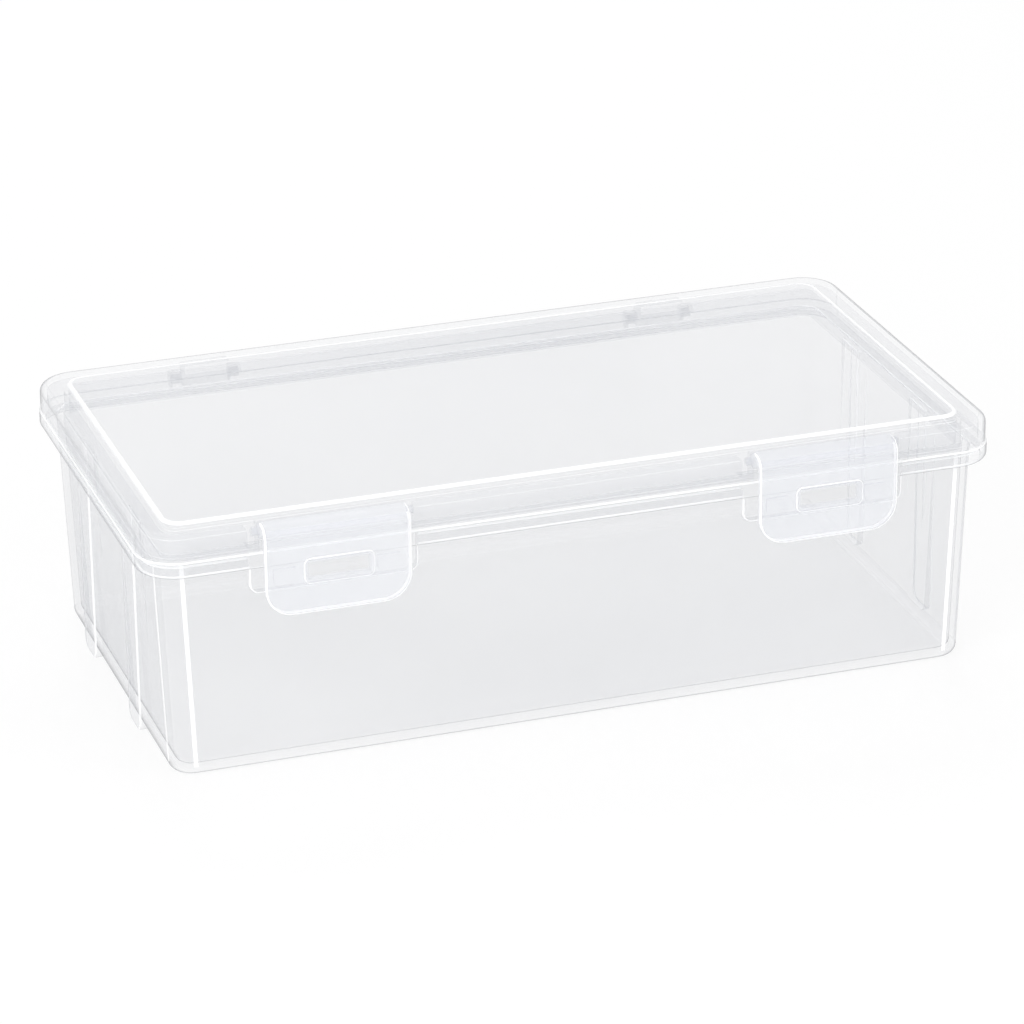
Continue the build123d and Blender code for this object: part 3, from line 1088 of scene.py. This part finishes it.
@dataclass
class Studio:
    """The floor, the lamps, the white surround and the camera."""

    azimuth: float = -18.433
    elevation: float = 23.128
    distance: float = 1.19759
    target: Triple = (0.00082, 0.0, 0.03376)
    roll: float = -0.658
    lens: float = 164.797
    sensor: float = 36.0
    near_clip: float = 0.05
    floor_size: float = 12.0
    floor_drop: float = 0.2 * MM
    floor_grey: float = 0.9
    floor_glow: float = 0.75
    surround_light: float = 0.6
    lamps: tuple[Lamp, ...] = (
        Lamp("key_lamp", azimuth=-50.0, elevation=32.0, size=0.7, watts=7.0),
        Lamp("fill_lamp", azimuth=50.0, elevation=28.0, size=0.6, watts=4.0),
        Lamp("rim_lamp", azimuth=170.0, elevation=45.0, size=0.6, watts=4.0),
    )

    def build(self) -> None:
        """Set up the whole studio."""
        scene = bpy.context.scene
        scene.view_settings.view_transform = "Standard"
        scene.cycles.transparent_max_bounces = CLEAR_LAYERS
        self._floor()
        self._world()
        for lamp in self.lamps:
            lamp.hang()
        self._camera()

    def _floor(self) -> None:
        """Lay the pale floor."""
        deselect_all()
        bpy.ops.mesh.primitive_plane_add(size=self.floor_size, location=(0, 0, -self.floor_drop))
        floor = bpy.context.object
        floor.name = "studio_floor"
        material = bpy.data.materials.new("pale_floor")
        material.use_nodes = True
        nodes, links = material.node_tree.nodes, material.node_tree.links
        nodes.clear()
        output = nodes.new("ShaderNodeOutputMaterial")
        mix = nodes.new("ShaderNodeMixShader")
        diffuse = nodes.new("ShaderNodeBsdfDiffuse")
        diffuse.inputs["Color"].default_value = (*[self.floor_grey] * 3, 1)
        glow = nodes.new("ShaderNodeEmission")
        glow.inputs["Color"].default_value = (1, 1, 1, 1)
        glow.inputs["Strength"].default_value = 1.0
        share = nodes.new("ShaderNodeMath")
        share.operation = "MULTIPLY"
        share.inputs[1].default_value = self.floor_glow
        links.new(seen_directly(nodes, links), share.inputs[0])
        links.new(share.outputs[0], mix.inputs["Fac"])
        links.new(diffuse.outputs[0], mix.inputs[1])
        links.new(glow.outputs[0], mix.inputs[2])
        links.new(mix.outputs[0], output.inputs["Surface"])
        floor.data.materials.append(material)

    def _world(self) -> None:
        """Make the surround white to the eye and softer as a light."""
        world = bpy.data.worlds.new("studio_world")
        bpy.context.scene.world = world
        world.use_nodes = True
        nodes, links = world.node_tree.nodes, world.node_tree.links
        nodes.clear()
        output = nodes.new("ShaderNodeOutputWorld")
        background = nodes.new("ShaderNodeBackground")
        background.inputs["Color"].default_value = (1, 1, 1, 1)
        strength = nodes.new("ShaderNodeMapRange")
        strength.inputs["To Min"].default_value = self.surround_light
        strength.inputs["To Max"].default_value = 1.0
        links.new(seen_directly(nodes, links), strength.inputs["Value"])
        links.new(strength.outputs["Result"], background.inputs["Strength"])
        links.new(background.outputs[0], output.inputs["Surface"])

    def _camera(self) -> None:
        """Place the camera where the photograph was taken from."""
        way = outward(self.azimuth, self.elevation)
        deselect_all()
        bpy.ops.object.camera_add(location=Vector(self.target) + way * self.distance)
        camera = bpy.context.object
        camera.name = "photo_camera"
        camera.data.lens = self.lens
        camera.data.sensor_width = self.sensor
        camera.data.clip_start = self.near_clip
        camera.rotation_mode = "QUATERNION"
        turn = Matrix.Rotation(math.radians(self.roll), 3, "Z").to_quaternion()
        camera.rotation_quaternion = way.to_track_quat("Z", "Y") @ turn
        bpy.context.scene.camera = camera


def seen_directly(nodes: bpy.types.Nodes, links: bpy.types.NodeLinks) -> bpy.types.NodeSocket:
    """Add nodes that give 1 to camera, glossy and transmission rays and 0 to the rest.

    Args:
        nodes: The tree's nodes.
        links: The tree's links.

    Returns:
        The socket with that value.
    """
    path = nodes.new("ShaderNodeLightPath")
    total = path.outputs["Is Camera Ray"]
    for name in ("Is Glossy Ray", "Is Transmission Ray"):
        larger = nodes.new("ShaderNodeMath")
        larger.operation = "MAXIMUM"
        links.new(total, larger.inputs[0])
        links.new(path.outputs[name], larger.inputs[1])
        total = larger.outputs[0]
    return total


# Each finish's shade is painted shade, mixed in where a face is seen at a grazing angle.
CLEAR_BODY = Finish(
    "clear_body_plastic", colour=(0.50, 0.515, 0.555), shade=(0.3, 0.31, 0.34),
    roughness=0.08, spread=0.05, film=0.09, rim=0.7, ripple=0.02)
CLEAR_LID = Finish(
    "clear_lid_plastic", colour=(0.58, 0.595, 0.64), shade=(0.3, 0.31, 0.34),
    roughness=0.08, spread=0.05, film=0.095, rim=0.6, ripple=0.02)
# Edges painted near white and nearly opaque: a painted highlight.
PAINTED_HIGHLIGHT_EDGE = Finish(
    "painted_highlight_edge", colour=(0.97, 0.975, 0.98), shade=(0.8, 0.81, 0.83),
    roughness=0.2, spread=0.1, film=0.8, rim=0.95, ripple=0.02)
# Roundings painted lighter than the clear plastic square on, a painted highlight, and near black where they
# turn away, a painted shade.
ROUNDING_HIGHLIGHT_AND_SHADE = Finish(
    "rounding_highlight_and_shade", colour=(0.75, 0.76, 0.79), shade=(0.07, 0.075, 0.09), grazing=0.5,
    roughness=0.1, spread=0.05, film=0.13, rim=0.92, ripple=0.02)
FROSTED = Finish(
    "frosted_latch_plastic", colour=(0.80, 0.815, 0.86), shade=(0.4, 0.41, 0.44),
    roughness=0.2, spread=0.1, film=0.24, rim=0.85, ripple=0.04)


def declare(piece: bpy.types.Object, skins: Sequence[bpy.types.Material],
            node: str, body: str) -> None:
    """Give a piece its finish and say what it stands for.

    Args:
        piece: The finished object.
        skins: Its materials, in the order of the skins.
        node: The node that it replaces.
        body: The body that it moves with.
    """
    for index, skin in enumerate(skins):
        piece.data.materials[index] = skin
    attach(piece, body)
    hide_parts(node)
    LOG.info("%s stands for %s with %d faces", piece.name, node, len(piece.data.polygons))


def main() -> None:
    """Build the box, dress it and set up the studio."""
    logging.basicConfig(level=logging.INFO, format="%(name)s: %(message)s")
    Studio().build()
    wear = HandlingMarks().make()
    # The edge and rounding skins carry the painted highlight and shade.
    painted_light_skins = (PAINTED_HIGHLIGHT_EDGE.make(wear), ROUNDING_HIGHLIGHT_AND_SHADE.make(wear))
    body, lid = BoxBody(), BoxLid()
    body.dress(body.build(), (CLEAR_BODY.make(wear), *painted_light_skins))
    lid.dress(lid.build(), (CLEAR_LID.make(wear), *painted_light_skins))
    frosted = (FROSTED.make(wear), *painted_light_skins)
    for side in Side:
        latch = SnapLatch(side)
        latch.dress(latch.build(), frosted)


if __name__ == "__main__":
    main()
